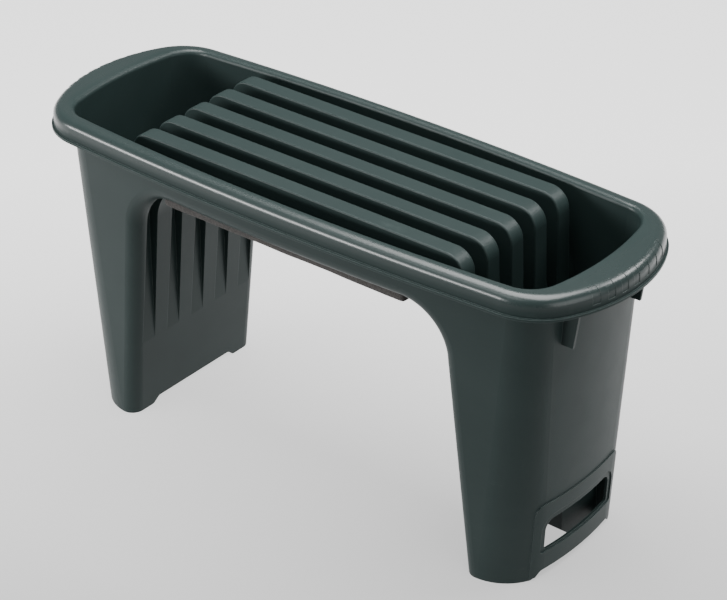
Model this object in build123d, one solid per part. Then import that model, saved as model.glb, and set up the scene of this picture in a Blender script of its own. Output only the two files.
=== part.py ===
"""Garden kneeler seat: a one-piece moulded tub on two hollow legs, with a foam kneeling pad taped
under its ribbed deck. Upright it is a seat; turned over, the pad is up and the legs are handrails.
Units mm. +Z up, +X along the length, origin at the centre of the footprint on the floor."""

import math
import os

from build123d import *

# Overall
LENGTH = 600.0
WIDTH = 215.0
HEIGHT = 298.5
WALL = 2.6

# Plan outlines: half length, half width, side bow, end bow, corner radius
LIP = (LENGTH / 2, WIDTH / 2, 13.3, 48.2, 57.9)
TUB_TOP = (268.6, 93.8, 13.3, 16.7, 31.0)
TUB_FOOT = (250.7, 91.6, 13.3, 14.5, 45.5)

# Rim
RIM_HEIGHT = 20.0
RIM_WALL = 2.4
RIM_OUTER_R = 9.0
RIM_INNER_R = 4.0
FLANGE_OUT = 2.0
FLANGE_THICK = 2.2
GRIP_PITCH = 15.0
GRIP_COUNT = 7
GRIP_WIDTH = 7.5
GRIP_DEPTH = 0.4
GRIP_REACH = 6.5
GRIP_FOOT_Z = 284.5

# Tunnel between the legs
TUNNEL_FOOT_X = 192.3
TUNNEL_DRAFT = 0.104
DECK_Z = 249.5
ARCH_R = 45.0
EDGE_R = 12.0

# Ribs of the deck
RIB_COUNT = 5
RIB_PITCH = 32.6
RIB_TOP_W = 16.4
RIB_DRAFT = 0.010
RIB_WALL = 2.2
RIB_END_R = 18.0
RIB_EDGE_R = 1.5
FLUTE_FOOT_Z = 78.0
FLUTE_DRAFT = 0.025

# Hand hold in each end wall
SLOT_W = 91.0
SLOT_H = 30.0
SLOT_Z = 28.0
SLOT_TOP_R = 10.0
SLOT_FOOT_R = 3.0
BAND = 5.5
PANEL_W = 118.0
PANEL_TOP_Z = 78.0
PANEL_PROUD = 1.0
BAY_B = 51.5
BAY_TOP_Z = 67.0
STEP_X = 235.0
STEP_FOOT_Z = 8.0
STEP_EDGE_Z = 16.2
STEP_EDGE_Y = 9.0

# Feet
FOOT_ARCH_B = 51.5
FOOT_ARCH_IN = 6.0
FOOT_ARCH_END = 7.5
FOOT_ARCH_R = 5.0

# Gussets under the end rims
GUSSET_Y = 47.3
GUSSET_THICK = 2.5
GUSSET_FOOT_Z = 237.5
GUSSET_X = 272.0

# Pad and its tape
PAD_X0 = -143.0
PAD_X1 = 125.0
PAD_WIDTH = 158.0
PAD_THICK = 10.0
PAD_CORNER_R = 4.0
PAD_EDGE_R = 1.5
TAPE_THICK = 0.6
TAPE_W = 14.0
TAPE_LENGTH = 230.0


def outline(shape, z, inset=0.0):
    """Closed outline of two bowed sides, two bowed ends and four tangent corner arcs."""
    a, b, side_bow, end_bow, r = shape
    side_r = (a * a + side_bow * side_bow) / (2 * side_bow)
    end_r = (b * b + end_bow * end_bow) / (2 * end_bow)
    side_c = side_r - b
    end_c = a - end_r
    r1 = side_r - r
    r2 = end_r - r
    gap = math.hypot(end_c, side_c)
    along = (r1 * r1 - r2 * r2 + gap * gap) / (2 * gap)
    off = math.sqrt(max(r1 * r1 - along * along, 0.0))
    ux, uy = end_c / gap, -side_c / gap
    options = [(along * ux - s * off * uy, side_c + along * uy + s * off * ux) for s in (1, -1)]
    px, py = max(options)
    a1 = math.atan2(py - side_c, px)
    a2 = math.atan2(py, px - end_c)
    am = (a1 + a2) / 2
    r -= inset
    side_r -= inset
    end_r -= inset

    def on(cx, cy, radius, angle):
        return cx + radius * math.cos(angle), cy + radius * math.sin(angle)

    t1 = on(px, py, r, a1)
    tm = on(px, py, r, am)
    t2 = on(px, py, r, a2)
    side = (0.0, -(b - inset))
    end = (a - inset, 0.0)

    def arc(p, q, s, mx, my):
        return ThreePointArc(*[(mx * v[0], my * v[1], z) for v in (p, q, s)])

    left = (-t1[0], t1[1])
    low = (t2[0], -t2[1])
    edges = [arc(left, side, t1, 1, 1), arc(t1, tm, t2, 1, 1), arc(t2, end, low, 1, 1)]
    edges += [arc(t2, tm, t1, 1, -1), arc(t1, side, left, 1, -1), arc(t1, tm, t2, -1, -1)]
    edges += [arc(t2, end, low, -1, -1), arc(t2, tm, t1, -1, 1)]
    return make_face(edges)


def between(shape0, shape1, share):
    """Outline part of the way from one to the other."""
    return tuple(p + (q - p) * share for p, q in zip(shape0, shape1))


def tapered(z0, z1, inset):
    """Solid tub form between two heights, drawn in by inset."""
    foot = between(TUB_FOOT, TUB_TOP, z0 / HEIGHT)
    top = between(TUB_FOOT, TUB_TOP, z1 / HEIGHT)
    return loft([outline(foot, z0, inset), outline(top, z1, inset)], ruled=True)


def across(points, half_width, radii=()):
    """Prism across the part from a profile in X and Z, with chosen corners rounded."""
    face = make_face(Polyline([(x, 0, z) for x, z in points], close=True)).face()
    for index, radius in radii:
        x, z = points[index]
        corner = min(face.vertices(), key=lambda v: abs(v.X - x) + abs(v.Z - z))
        face = face.fillet_2d(radius, [corner])
    return extrude(face, half_width, dir=(0, 1, 0), both=True)


def lengthwise(face, x0, x1):
    """Prism along X from a face drawn in the Y and Z plane."""
    return Pos(x0, 0, 0) * extrude(face, x1 - x0, dir=(1, 0, 0))


def yz_face(points, radii=()):
    """Face in the Y and Z plane, with chosen corners rounded."""
    face = make_face(Polyline([(0, y, z) for y, z in points], close=True)).face()
    for index, radius in radii:
        y, z = points[index]
        corner = min(face.vertices(), key=lambda v: abs(v.Y - y) + abs(v.Z - z))
        face = face.fillet_2d(radius, [corner])
    return face


def tunnel_x(z):
    """Half width of the tunnel at a height."""
    return TUNNEL_FOOT_X - TUNNEL_DRAFT * z


def tunnel(grow):
    """The space between the legs, grown by the wall for the hollow side."""
    z = DECK_Z + grow
    x0 = tunnel_x(-20) + grow
    x1 = tunnel_x(z) + grow
    points = [(-x0, -20), (x0, -20), (x1, z), (-x1, z)]
    return across(points, 160, [(2, ARCH_R + grow), (3, ARCH_R + grow)])


def rounded_core(body, grow, radius):
    """Tub form with the tunnel cut out and the tunnel's long edges rounded."""
    cut = body - tunnel(grow)
    edges = [e for e in cut.edges() if is_tunnel_edge(e, grow)]
    return cut.fillet(radius, edges)


def is_tunnel_edge(edge, grow):
    """True for an edge between the tunnel and a long side."""
    p = edge @ 0.5
    inside = abs(p.X) < tunnel_x(p.Z) + grow + 0.6 and p.Z < DECK_Z + grow + 0.6
    rises = abs(edge.bounding_box().size.Y) < 30 and edge.bounding_box().min.Z < DECK_Z + grow + 1
    flat_foot = edge.bounding_box().size.Z < 0.01 and p.Z < DECK_Z - 5
    return inside and rises and not flat_foot and abs(p.Y) > 60


def rim_form(inset, top):
    """Outer form of the rim, rounded over its top edge."""
    z = HEIGHT - RIM_HEIGHT - 1
    block = extrude(outline(LIP, z, FLANGE_OUT + inset), top - z, dir=(0, 0, 1))
    edges = block.edges().filter_by(lambda e: (e @ 0.5).Z > top - 0.01)
    return block.fillet(RIM_OUTER_R - inset, edges)


def rib_profile(shrink):
    """Rib seen from the side: flat top, rounded ends, then down into the legs."""
    top = HEIGHT - shrink
    foot = 40.0
    x_top = TUNNEL_FOOT_X - TUNNEL_DRAFT * FLUTE_FOOT_Z + RIB_WALL - shrink
    x_top -= FLUTE_DRAFT * (top - FLUTE_FOOT_Z)
    x_foot = x_top + FLUTE_DRAFT * (top - foot)
    return [(-x_foot, foot), (x_foot, foot), (x_top, top), (-x_top, top)]


def rib(y, shrink):
    """One rib or, shrunk by its wall, the hollow inside it."""
    radius = RIB_END_R - shrink
    side = across(rib_profile(shrink), 40, [(2, radius), (3, radius)])
    half_top = RIB_TOP_W / 2 - shrink
    top = HEIGHT - shrink
    half_foot = half_top + RIB_DRAFT * (top - 30)
    section = [(-half_foot, 30), (half_foot, 30), (half_top, top), (-half_top, top)]
    form = side & lengthwise(yz_face(section), -260, 260)
    if not shrink:
        form = form.fillet(RIB_EDGE_R, [e for e in form.edges() if is_rib_edge(e, half_top)])
    return Pos(0, y, 0) * form


def is_rib_edge(edge, half):
    """True for an edge between a rib's side and its top or ends."""
    p = edge @ 0.5
    return abs(p.Y) > half - 0.1 and p.Z > 50


def slot_face(grow, foot_z):
    """Outline of the hand hold, grown for the band around it."""
    half = SLOT_W / 2 + grow
    top = SLOT_Z + SLOT_H + grow
    points = [(-half, foot_z), (half, foot_z), (half, top), (-half, top)]
    r = SLOT_TOP_R + grow
    return yz_face(points, [(0, SLOT_FOOT_R), (1, SLOT_FOOT_R), (2, r), (3, r)])


def foot_arch(height):
    """Face that lifts the middle of a foot edge off the floor."""
    wide = FOOT_ARCH_B + 4
    flat = FOOT_ARCH_B - 3
    points = [(-90, -20), (-90, 0), (-wide, 0), (-flat, height)]
    points += [(-y, z) for y, z in reversed(points)]
    r = FOOT_ARCH_R
    return yz_face(points, [(2, r), (3, r), (4, r), (5, r)])


def both_ends(solid):
    """The same thing at each end of the part."""
    return [solid, solid.mirror(Plane.YZ)]


def build_body():
    """The moulding."""
    outer = rounded_core(tapered(0, HEIGHT, 0), 0, EDGE_R)
    hollow = rounded_core(tapered(WALL, HEIGHT + 4, WALL), WALL, EDGE_R - WALL)
    room = rounded_core(tapered(0, HEIGHT, WALL), WALL, EDGE_R - WALL)

    skirt_z = HEIGHT - RIM_HEIGHT
    rim = rim_form(0, HEIGHT)
    grip = rim - rim_form(GRIP_DEPTH, HEIGHT - GRIP_DEPTH)
    below = Pos(0, 0, skirt_z) * Box(700, 300, 40, align=(Align.CENTER, Align.CENTER, Align.MAX))
    rim -= rim_form(RIM_WALL, HEIGHT - RIM_WALL) + below
    flange = outline(LIP, skirt_z) - outline(LIP, skirt_z, FLANGE_OUT + RIM_WALL)
    rim += extrude(flange, FLANGE_THICK, dir=(0, 0, 1))
    for y in (-GUSSET_Y, GUSSET_Y):
        rim += both_ends(gusset(y))

    body = outer + rim - hollow
    body = body.fillet(RIM_INNER_R, [e for e in body.edges() if is_bowl_edge(e)])

    places = [(i - (RIB_COUNT - 1) / 2) * RIB_PITCH for i in range(RIB_COUNT)]
    for y in places:
        body += rib(y, 0) & hollow
    body += both_ends(bay(BAY_B + WALL, WALL, BAY_TOP_Z + WALL) & hollow)
    body -= both_ends(bay_space() & room)
    body -= both_ends(step_space() & hollow)
    body -= [rib(y, RIB_WALL) for y in places]

    body += both_ends(panel())
    body -= both_ends(band())
    body -= both_ends(lengthwise(slot_face(0, SLOT_Z), 236, 300))
    body -= both_ends(lengthwise(foot_arch(FOOT_ARCH_IN), 150, 226))
    body -= both_ends(lengthwise(foot_arch(FOOT_ARCH_END), 226, 300))

    reach = outline(LIP, GRIP_FOOT_Z) - outline(LIP, GRIP_FOOT_Z, FLANGE_OUT + GRIP_REACH)
    grip &= extrude(reach, 20, dir=(0, 0, 1))
    for i in range(GRIP_COUNT):
        y = (i - (GRIP_COUNT - 1) / 2) * GRIP_PITCH
        body -= both_ends(grip & Pos(285, y, HEIGHT) * Box(40, GRIP_WIDTH, 60))
    return body


def is_bowl_edge(edge):
    """True for the inner top edge of the rim."""
    p = edge @ 0.5
    return abs(p.Z - HEIGHT) < 0.01 and abs(p.X) < TUB_TOP[0] and abs(p.Y) < TUB_TOP[1] - WALL + 0.5


def bay(half_width, z0, z1):
    """Block that spans a leg between two heights."""
    block = Box(110, 2 * half_width, z1 - z0, align=(Align.CENTER, Align.CENTER, Align.MIN))
    return Pos(225, 0, z0) * block


def panel():
    """Raised panel round the hand hold, following the end wall."""
    half = PANEL_W / 2
    points = [(-half, 2), (half, 2), (half, PANEL_TOP_Z), (-half, PANEL_TOP_Z)]
    face = yz_face(points, [(2, 10), (3, 10)])
    skin = tapered(0, 120, -PANEL_PROUD) - tapered(0, 120, WALL / 2)
    return lengthwise(face, 230, 300) & skin


def band():
    """Shallow recess directly round the hand hold."""
    skin = tapered(0, 120, -PANEL_PROUD - 1) - tapered(0, 120, 0.2)
    return lengthwise(slot_face(BAND, SLOT_Z - 2), 230, 300) & skin


def bay_space():
    """Finger space behind the hand hold: deep on one side, shallow before the well's low step."""
    whole = bay(BAY_B, -1, BAY_TOP_Z)
    deep = whole & Pos(225, -100, 0) * Box(200, 200, 400)
    shallow = whole & Pos(STEP_X + 50, 0, 0) * Box(100, 200, 400)
    under = [(0, -1), (BAY_B, -1), (BAY_B, STEP_FOOT_Z), (STEP_EDGE_Y, STEP_FOOT_Z), (0, STEP_EDGE_Z)]
    return deep + shallow + lengthwise(yz_face(under), 170, 280)


def step_space():
    """Inside of the low step of the well floor, with its bevelled lower edge."""
    top = BAY_TOP_Z + WALL + 1
    low = STEP_FOOT_Z + WALL
    section = [(WALL, top), (WALL, STEP_EDGE_Z + 1), (STEP_EDGE_Y + 1, low), (BAY_B, low), (BAY_B, top)]
    return lengthwise(yz_face(section), 170, STEP_X - WALL)


def gusset(y):
    """Thin plate bracing the rim to the end wall."""
    top = HEIGHT - 1.5
    points = [(252, top), (281.0, top), (GUSSET_X, GUSSET_FOOT_Z), (252, GUSSET_FOOT_Z)]
    return Pos(0, y, 0) * across(points, GUSSET_THICK / 2)


def build_pad():
    """Foam pad, cut to the deck's arch at one end, with softened lower edges."""
    top = DECK_Z - TAPE_THICK
    plan = RectangleRounded(PAD_X1 - PAD_X0, PAD_WIDTH, PAD_CORNER_R)
    sheet = Pos((PAD_X0 + PAD_X1) / 2, 0, top - PAD_THICK) * extrude(plan, PAD_THICK)
    edges = sheet.edges().filter_by(lambda e: (e @ 0.5).Z < top - PAD_THICK + 0.01)
    return sheet.fillet(PAD_EDGE_R, edges) & tunnel(-TAPE_THICK)


def build_tape(y):
    """One strip of double-sided tape on a land between two rib mouths."""
    return Pos(0, y, DECK_Z - TAPE_THICK / 2) * Box(TAPE_LENGTH, TAPE_W, TAPE_THICK)


if __name__ == "__main__":
    os.makedirs("parts", exist_ok=True)
    export_step(build_body(), "parts/seat_body.step")
    export_step(build_pad(), "parts/kneeling_pad.step")
    for i in range(RIB_COUNT - 1):
        y_land = (i - (RIB_COUNT - 2) / 2) * RIB_PITCH
        export_step(build_tape(y_land), f"parts/pad_tape_{i + 1}.step")
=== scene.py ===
import math

import bpy
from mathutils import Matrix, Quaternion, Vector, noise


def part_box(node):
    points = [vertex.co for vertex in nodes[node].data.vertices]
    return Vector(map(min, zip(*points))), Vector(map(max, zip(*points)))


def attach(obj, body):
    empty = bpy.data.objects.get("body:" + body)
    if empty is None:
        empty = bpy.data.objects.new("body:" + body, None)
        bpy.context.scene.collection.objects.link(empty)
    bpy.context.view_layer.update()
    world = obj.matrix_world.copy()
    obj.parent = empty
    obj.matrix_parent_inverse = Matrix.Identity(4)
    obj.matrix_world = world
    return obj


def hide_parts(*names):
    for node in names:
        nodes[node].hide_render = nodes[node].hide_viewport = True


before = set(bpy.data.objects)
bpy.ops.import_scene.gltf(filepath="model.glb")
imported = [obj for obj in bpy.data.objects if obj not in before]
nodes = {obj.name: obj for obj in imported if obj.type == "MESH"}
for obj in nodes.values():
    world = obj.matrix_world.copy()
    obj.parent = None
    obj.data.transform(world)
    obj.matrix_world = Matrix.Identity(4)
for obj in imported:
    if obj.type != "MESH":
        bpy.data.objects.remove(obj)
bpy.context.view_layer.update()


# ---------------------------------------------------------------- shader helpers
BEVEL_SAMPLES = 6
FLAT_DOT = 0.97
SHARP_DOT = 0.80


class Graph:
    """Short ways to make and join the nodes of one material."""

    def __init__(self, name):
        self.material = bpy.data.materials.new(name)
        self.material.use_nodes = True
        self.tree = self.material.node_tree
        self.bsdf = self.tree.nodes["Principled BSDF"]
        self.coords = self.tree.nodes.new("ShaderNodeTexCoord")

    def add(self, kind, **values):
        """New node with its unlinked inputs set by name."""
        node = self.tree.nodes.new("ShaderNode" + kind)
        for key, value in values.items():
            node.inputs[key].default_value = value
        return node

    def link(self, source, target, name):
        self.tree.links.new(source, target.inputs[name])

    def placed(self, scale):
        """Object coordinates, stretched along each axis."""
        mapping = self.add("Mapping", Scale=scale)
        self.link(self.coords.outputs["Object"], mapping, "Vector")
        return mapping.outputs["Vector"]

    def noise(self, scale, detail=4.0, rough=0.5, stretch=(1, 1, 1), distort=0.0):
        node = self.add("TexNoise", Scale=scale, Detail=detail, Roughness=rough, Distortion=distort)
        self.link(self.placed(stretch), node, "Vector")
        return node.outputs["Fac"]

    def cells(self, scale):
        node = self.add("TexVoronoi", Scale=scale)
        self.link(self.placed((1, 1, 1)), node, "Vector")
        return node.outputs["Distance"]

    def position(self):
        """Object coordinates as three separate outputs, X, Y and Z."""
        split = self.add("SeparateXYZ")
        self.link(self.coords.outputs["Object"], split, "Vector")
        return split.outputs

    def ramp(self, source, low, high, out_low=0.0, out_high=1.0):
        """Straight ramp from out_low at low to out_high at high, flat beyond both."""
        ends = {"From Min": low, "From Max": high, "To Min": out_low, "To Max": out_high}
        node = self.add("MapRange", **ends)
        self.link(source, node, "Value")
        return node.outputs["Result"]

    def math(self, operation, a, b):
        """One sum of two values, each a number or an output."""
        node = self.add("Math")
        node.operation = operation
        for index, value in enumerate((a, b)):
            if isinstance(value, (int, float)):
                node.inputs[index].default_value = value
            else:
                self.tree.links.new(value, node.inputs[index])
        return node.outputs[0]

    def mix(self, factor, a, b):
        """Blend of two colours, each a tuple or an output."""
        node = self.add("Mix")
        node.data_type = "RGBA"
        for name, value in (("Factor", factor), ("A", a), ("B", b)):
            socket = [s for s in node.inputs if s.name == name and (s.type == "RGBA" or name == "Factor")][0]
            if isinstance(value, tuple):
                socket.default_value = (*value, 1.0)
            else:
                self.tree.links.new(value, socket)
        return [s for s in node.outputs if s.type == "RGBA"][0]

    def rounded(self, radius):
        """Normal as if every edge were rounded by a radius in metres."""
        node = self.add("Bevel", Radius=radius)
        node.samples = BEVEL_SAMPLES
        return node.outputs["Normal"]

    def edges(self, radius):
        """1 on sharp edges, 0 on flat faces."""
        flat = self.add("NewGeometry")
        dot = self.add("VectorMath")
        dot.operation = "DOT_PRODUCT"
        self.tree.links.new(self.rounded(radius), dot.inputs[0])
        self.tree.links.new(flat.outputs["Normal"], dot.inputs[1])
        return self.ramp(dot.outputs["Value"], FLAT_DOT, SHARP_DOT)

    def bump(self, *layers, normal=None):
        """Layers of (height, strength, distance in metres) over a normal."""
        for height, strength, distance in layers:
            node = self.add("Bump", Strength=strength, Distance=distance)
            self.link(height, node, "Height")
            if normal is not None:
                self.link(normal, node, "Normal")
            normal = node.outputs["Normal"]
        self.link(normal, self.bsdf, "Normal")


# The tub's mouth is an eighth-power curve whose long sides bow outwards in the middle.
MOUTH_X = 0.2625
MOUTH_Y = 0.0935
MOUTH_POWER = 8.0
BOW_X = 0.27
RIM_BOW = 0.0133
RIM_FOOT_Z = 0.2855
RIM_TOP_Z = 0.2905

GREEN_DARK = (0.0106, 0.0186, 0.0178)
GREEN_LIGHT = (0.0132, 0.0222, 0.0213)
SCUFF_GREEN = (0.075, 0.095, 0.090)
# Pale green painted along sharp edges as a highlight, standing in for the thin line of light that edges
# catch.
EDGE_HIGHLIGHT_GREEN = (0.070, 0.088, 0.085)
PLASTIC_IOR = 1.49
PLASTIC_SPECULAR = 0.19
RIM_COAT = 0.5
RIM_COAT_ROUGHNESS = 0.27
RIM_POLISH = 0.15
# How far from a sharp edge the painted edge highlight reaches, in metres.
EDGE_HIGHLIGHT_RADIUS = 0.0009
EDGE_RADIUS = 0.0004


def rim_mask(g):
    """1 on the rounded top of the rim outside the tub's mouth, 0 elsewhere."""
    position = g.position()
    x = g.math("ABSOLUTE", position["X"], 0.0)
    y = g.math("ABSOLUTE", position["Y"], 0.0)
    bow = g.math("MULTIPLY", g.math("POWER", g.math("DIVIDE", x, BOW_X), 2.0), RIM_BOW)
    end = g.math("POWER", g.math("DIVIDE", x, MOUTH_X), MOUTH_POWER)
    side = g.math("POWER", g.math("DIVIDE", g.math("ADD", y, bow), MOUTH_Y), MOUTH_POWER)
    outside = g.ramp(g.math("ADD", end, side), 1.2, 1.45)
    return g.math("MULTIPLY", outside, g.ramp(position["Z"], RIM_FOOT_Z, RIM_TOP_Z))


def green_plastic():
    """Dark green moulded polypropylene: fine grain, faint flow marks, pale scuffs, glossier rim, and a pale
    painted highlight along sharp edges.
    """
    g = Graph("green_plastic")
    rim = rim_mask(g)
    flow = g.noise(5.0, 5, 0.6, (1, 1.6, 2.2), 0.6)
    blotch = g.noise(38.0, 6, 0.62)
    streaks = g.noise(70.0, 8, 0.75, (0.25, 1, 1), 1.2)
    scuff = g.math("MULTIPLY", g.ramp(streaks, 0.60, 0.74), g.ramp(blotch, 0.48, 0.62))
    scuff = g.math("MULTIPLY", scuff, g.ramp(rim, 0.0, 1.0, 1.0, 0.1))

    base = g.mix(g.ramp(flow, 0.3, 0.7), GREEN_DARK, GREEN_LIGHT)
    base = g.mix(g.math("MULTIPLY", scuff, 0.22), base, SCUFF_GREEN)
    # Painted highlight: sharp edges are lightened towards a pale green, standing in for the light that
    # rounded edges catch.
    base = g.mix(g.math("MULTIPLY", g.edges(EDGE_HIGHLIGHT_RADIUS), 0.6), base, EDGE_HIGHLIGHT_GREEN)
    g.link(base, g.bsdf, "Base Color")

    rough = g.ramp(blotch, 0.25, 0.75, 0.40, 0.45)
    rough = g.math("SUBTRACT", rough, g.math("MULTIPLY", rim, RIM_POLISH))
    rough = g.math("ADD", rough, g.math("MULTIPLY", scuff, 0.15))
    g.link(rough, g.bsdf, "Roughness")
    g.link(g.math("MULTIPLY", rim, RIM_COAT), g.bsdf, "Coat Weight")
    g.bsdf.inputs["Coat Roughness"].default_value = RIM_COAT_ROUGHNESS
    g.bsdf.inputs["IOR"].default_value = PLASTIC_IOR
    g.bsdf.inputs["Specular IOR Level"].default_value = PLASTIC_SPECULAR

    sink = g.noise(9.0, 2, 0.4)
    grain = g.noise(1500.0, 3, 0.55)
    layers = ((sink, 0.25, 0.0035), (grain, 0.16, 0.00035), (scuff, 0.2, 0.0001))
    g.bump(*layers, normal=g.rounded(EDGE_RADIUS))
    return g.material


FOAM_DARK = (0.009, 0.008, 0.0075)
FOAM_LIGHT = (0.034, 0.031, 0.029)
FOAM_DUST = (0.045, 0.041, 0.038)


def dark_foam():
    """Closed-cell foam, near black, with open pores and a little dust."""
    g = Graph("dark_foam")
    cells = g.cells(620.0)
    patch = g.noise(26.0, 5, 0.6)
    base = g.mix(g.ramp(cells, 0.1, 0.7), FOAM_DARK, FOAM_LIGHT)
    base = g.mix(g.ramp(patch, 0.35, 0.75, 0.0, 0.35), base, FOAM_DUST)
    g.link(base, g.bsdf, "Base Color")
    g.link(g.ramp(patch, 0.3, 0.7, 0.86, 0.97), g.bsdf, "Roughness")
    g.bump((patch, 0.25, 0.002), (cells, 0.6, 0.0007))
    return g.material


TAPE_DARK = (0.46, 0.44, 0.39)
TAPE_LIGHT = (0.58, 0.56, 0.50)


def pale_tape():
    """Double-sided tape between the pad and the deck."""
    g = Graph("pale_tape")
    weave = g.noise(900.0, 4, 0.6, (0.2, 1, 1))
    base = g.mix(g.ramp(weave, 0.3, 0.7), TAPE_DARK, TAPE_LIGHT)
    g.link(base, g.bsdf, "Base Color")
    g.link(g.ramp(weave, 0.3, 0.7, 0.5, 0.7), g.bsdf, "Roughness")
    g.bump((weave, 0.3, 0.0002))
    return g.material


def give(obj, material):
    """The object's one material."""
    obj.data.materials.clear()
    obj.data.materials.append(material)


# ---------------------------------------------------------------- the moulding and the tape
plastic = green_plastic()
give(nodes["seat_body"], plastic)
tape = pale_tape()
for name, node in nodes.items():
    if name.startswith("pad_tape"):
        give(node, tape)


# ---------------------------------------------------------------- the foam pad
PAD_VOXEL = 0.0022
PAD_CROWN = 0.0009
PAD_RIPPLE = 0.00045
WIDE_WAVES = 22.0
SMALL_WAVES = 60.0
SIDE_WAVES = 30.0


def foam_pad():
    """The pad's CAD solid, remeshed, softened and given the slight waviness of cut foam."""
    source = nodes["kneeling_pad"]
    pad = bpy.data.objects.new("foam_pad", source.data.copy())
    bpy.context.scene.collection.objects.link(pad)
    remesh = pad.modifiers.new("remesh", "REMESH")
    remesh.mode = "VOXEL"
    remesh.voxel_size = PAD_VOXEL
    remesh.use_smooth_shade = True
    smooth = pad.modifiers.new("smooth", "SMOOTH")
    smooth.factor = 0.5
    smooth.iterations = 3
    evaluated = pad.evaluated_get(bpy.context.evaluated_depsgraph_get())
    mesh = bpy.data.meshes.new_from_object(evaluated)
    pad.modifiers.clear()
    pad.data = mesh
    low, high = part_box("kneeling_pad")
    middle = (low + high) / 2
    half = (high - low) / 2
    for v in mesh.vertices:
        x = (v.co.x - middle.x) / half.x
        y = (v.co.y - middle.y) / half.y
        below = (high.z - v.co.z) / (high.z - low.z)
        crown = max(0.0, 1 - x * x) * max(0.0, 1 - y * y)
        ripple = noise.noise(v.co * WIDE_WAVES) + 0.5 * noise.noise(v.co * SMALL_WAVES)
        v.co.z -= below * (PAD_CROWN * crown + PAD_RIPPLE * ripple)
        side = noise.noise(Vector((v.co.x * SIDE_WAVES, v.co.y * SIDE_WAVES, 4.0)))
        v.co.x += PAD_RIPPLE * side * x * abs(x)
        v.co.y += PAD_RIPPLE * side * y * abs(y)
    for polygon in mesh.polygons:
        polygon.use_smooth = True
    return pad


pad = foam_pad()
give(pad, dark_foam())
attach(pad, "root")
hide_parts("kneeling_pad")


# ---------------------------------------------------------------- floor
FLOOR_SIZE = 30.0
FLOOR_DARK = (0.175, 0.175, 0.175)
FLOOR_LIGHT = (0.18, 0.18, 0.18)
FRONT_GLOW = 0.18
BACK_GLOW = 1.7
GLOW_REACH = 0.55
GLOW_X = 0.64
GLOW_Y = 0.77


def studio_floor():
    """Pale matt floor, lit from below and brighter towards the back left."""
    g = Graph("studio_floor")
    speck = g.noise(14.0, 3, 0.5)
    g.link(g.mix(speck, FLOOR_DARK, FLOOR_LIGHT), g.bsdf, "Base Color")
    g.bsdf.inputs["Roughness"].default_value = 0.9
    g.bsdf.inputs["Specular IOR Level"].default_value = 0.1
    g.bsdf.inputs["Emission Color"].default_value = (1, 1, 1, 1)
    position = g.position()
    back = g.math("MULTIPLY", position["Y"], GLOW_Y)
    back = g.math("SUBTRACT", back, g.math("MULTIPLY", position["X"], GLOW_X))
    glow = g.ramp(back, -GLOW_REACH, GLOW_REACH, FRONT_GLOW, BACK_GLOW)
    g.link(glow, g.bsdf, "Emission Strength")
    return g.material


bpy.ops.mesh.primitive_plane_add(size=FLOOR_SIZE, location=(0, 0, 0))
floor = bpy.context.object
floor.name = "studio_floor"
give(floor, studio_floor())


# ---------------------------------------------------------------- light
TARGET = Vector((0.0, 0.0, 0.150))
WORLD_STRENGTH = 0.3

# name: place, size and watts
SOFTBOXES = {
    "front_strip": ((-1.27, -1.84, 0.68), (1.7, 0.26), 66),
    "front_box": ((-0.3, -1.2, 1.75), (1.3, 0.6), 8),
    "top_box": ((0.0, 0.1, 2.0), (2.0, 1.5), 118),
    "side_box": ((2.0, -0.35, 0.55), (1.6, 1.2), 16),
    "back_box": ((0.9, 1.25, 1.6), (0.9, 0.5), 26),
}


def softbox(name, place, size, power):
    """Rectangular area light that faces the seat."""
    light = bpy.data.lights.new(name, "AREA")
    light.shape = "RECTANGLE"
    light.size, light.size_y = size
    light.energy = power
    lamp = bpy.data.objects.new(name, light)
    lamp.location = place
    lamp.rotation_euler = (TARGET - Vector(place)).to_track_quat("-Z", "Y").to_euler()
    bpy.context.scene.collection.objects.link(lamp)


for name, (place, size, power) in SOFTBOXES.items():
    softbox(name, place, size, power)

world = bpy.data.worlds.new("studio")
bpy.context.scene.world = world
world.use_nodes = True
background = world.node_tree.nodes["Background"]
background.inputs["Color"].default_value = (1, 1, 1, 1)
background.inputs["Strength"].default_value = WORLD_STRENGTH


# ---------------------------------------------------------------- camera
AZIMUTH = math.radians(39.892)
ELEVATION = math.radians(31.227)
ROLL = math.radians(-0.81)
DISTANCE = 2.2597
SENSOR = 36.0
LENS = 127.09
SHIFT_X = 0.0212
SHIFT_Y = 0.0115


def aimed_camera():
    """Camera that looks at the target from an azimuth, an elevation and a distance."""
    level = math.cos(ELEVATION)
    away = Vector((math.sin(AZIMUTH) * level, -math.cos(AZIMUTH) * level, math.sin(ELEVATION)))
    data = bpy.data.cameras.new("camera")
    data.sensor_width = SENSOR
    data.lens = LENS
    data.shift_x = SHIFT_X
    data.shift_y = SHIFT_Y
    data.dof.use_dof = False
    camera = bpy.data.objects.new("camera", data)
    camera.location = TARGET + away * DISTANCE
    turn = (-away).to_track_quat("-Z", "Y") @ Quaternion((0, 0, 1), ROLL)
    camera.rotation_euler = turn.to_euler()
    bpy.context.scene.collection.objects.link(camera)
    return camera


bpy.context.scene.camera = aimed_camera()
